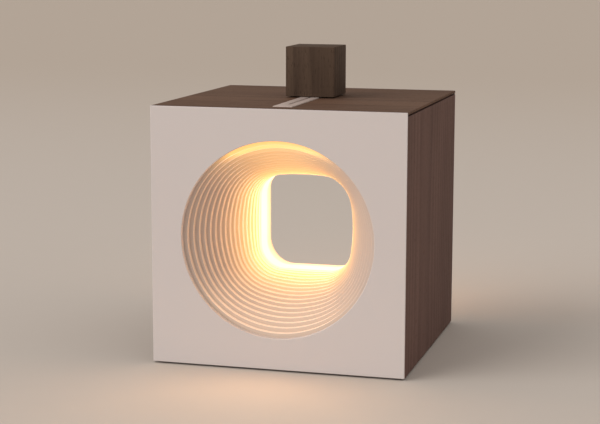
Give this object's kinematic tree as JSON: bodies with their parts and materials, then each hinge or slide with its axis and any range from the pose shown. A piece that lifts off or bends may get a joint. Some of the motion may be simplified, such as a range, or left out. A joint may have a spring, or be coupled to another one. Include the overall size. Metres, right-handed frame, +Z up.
{
  "type": "cube table lamp",
  "caption": "Dark wooden cube lamp with a stepped white funnel on both sides, a glowing ring in the middle that one looks through, and a sliding cube on top that dims it.",
  "frame": {"origin": "middle of the underside, on the surface that the lamp stands on", "axes": "+Z up, the front panel faces -Y, +X is to the right as seen from the front"},
  "size_m": [0.16, 0.16, 0.1938],
  "materials": {
    "white_panel": "fine board with matt white lacquer",
    "white_sheet": "fine board with matt white lacquer, cut edges a little darker",
    "dark_wood_wall": "dark walnut, oiled, satin",
    "dark_wood_lid": "dark walnut, oiled, satin",
    "dark_wood_knob": "dark walnut, oiled, satin",
    "felt": "natural grey wool felt",
    "satin_rail": "fine brushed, satin anodised",
    "steel": "zinc plated",
    "opal_diffuser": "opal, frosted, lit from behind in warm white",
    "led_tape": "white flexible tape with light emitting diodes",
    "aluminium_carrier": "mill finish",
    "circuit_board": "green solder resist",
    "black_plastic": "matt black",
    "lead_sheath": "black sheath"
  },
  "bodies": {
    "lamp_case": {"front_panel": "white_panel", "front_layer_01": "white_sheet", "front_layer_02": "white_sheet", "front_layer_03": "white_sheet", "front_layer_04": "white_sheet", "front_layer_05": "white_sheet", "front_layer_06": "white_sheet", "front_layer_07": "white_sheet", "front_layer_08": "white_sheet", "front_layer_09": "white_sheet", "front_layer_10": "white_sheet", "front_layer_11": "white_sheet", "front_layer_12": "white_sheet", "front_layer_13": "white_sheet", "front_layer_14": "white_sheet", "front_layer_15": "white_sheet", "front_layer_16": "white_sheet", "front_layer_17": "white_sheet", "rear_panel": "white_panel", "rear_layer_01": "white_sheet", "rear_layer_02": "white_sheet", "rear_layer_03": "white_sheet", "rear_layer_04": "white_sheet", "rear_layer_05": "white_sheet", "rear_layer_06": "white_sheet", "rear_layer_07": "white_sheet", "rear_layer_08": "white_sheet", "rear_layer_09": "white_sheet", "rear_layer_10": "white_sheet", "rear_layer_11": "white_sheet", "rear_layer_12": "white_sheet", "rear_layer_13": "white_sheet", "rear_layer_14": "white_sheet", "rear_layer_15": "white_sheet", "rear_layer_16": "white_sheet", "rear_layer_17": "white_sheet", "left_wall": "dark_wood_wall", "right_wall": "dark_wood_wall", "bottom_board": "dark_wood_wall", "top_lid": "dark_wood_lid", "base_felt": "felt", "post_low_left": "dark_wood_wall", "post_low_right": "dark_wood_wall", "post_high_left": "dark_wood_wall", "post_high_right": "dark_wood_wall", "slide_rail": "satin_rail", "fader_housing": "steel", "fader_screw_front": "steel", "fader_screw_rear": "steel", "diffuser_ring": "opal_diffuser", "led_strip": "led_tape", "led_carrier": "aluminium_carrier", "control_board": "circuit_board", "power_inlet": "black_plastic", "inlet_nut": "steel", "power_lead": "lead_sheath", "led_lead": "lead_sheath", "fader_lead": "lead_sheath"},
    "slider": {"knob": "dark_wood_knob", "fader_wiper": "black_plastic"}
  },
  "joints": [
    {"name": "dimmer_slide", "type": "slide", "parent": "lamp_case", "child": "slider", "axis": [0, 1, 0], "range_m": [-0.0628, 0.0372]}
  ]
}
